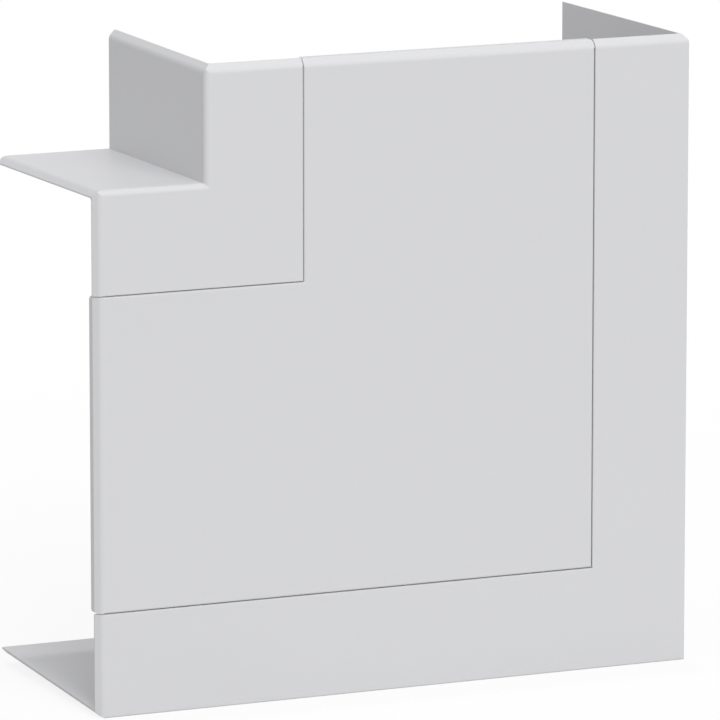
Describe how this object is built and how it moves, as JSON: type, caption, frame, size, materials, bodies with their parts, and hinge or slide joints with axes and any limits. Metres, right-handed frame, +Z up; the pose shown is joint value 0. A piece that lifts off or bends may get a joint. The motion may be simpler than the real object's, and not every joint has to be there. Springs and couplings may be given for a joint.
{
  "type": "trunking flat angle",
  "caption": "L-shaped flat angle that turns wide wall trunking through a right angle, with an outer side, an inner side and a clip-on cover.",
  "frame": {"origin": "middle of the bounding box's footprint, at the height of the bottom wall's lowest edge", "axes": "+Z up along the arm that opens upwards, -X along the arm that opens sideways, -Y out of the front, +Y towards the building's wall"},
  "size_m": [0.165, 0.067, 0.165],
  "materials": {
    "shell": "satin white moulded PVC with a very fine grain",
    "cover_plate": "satin white moulded PVC with a very fine grain"
  },
  "bodies": {
    "root": {"outer_side": "shell", "inner_side": "shell", "cover": "cover_plate"}
  },
  "joints": []
}
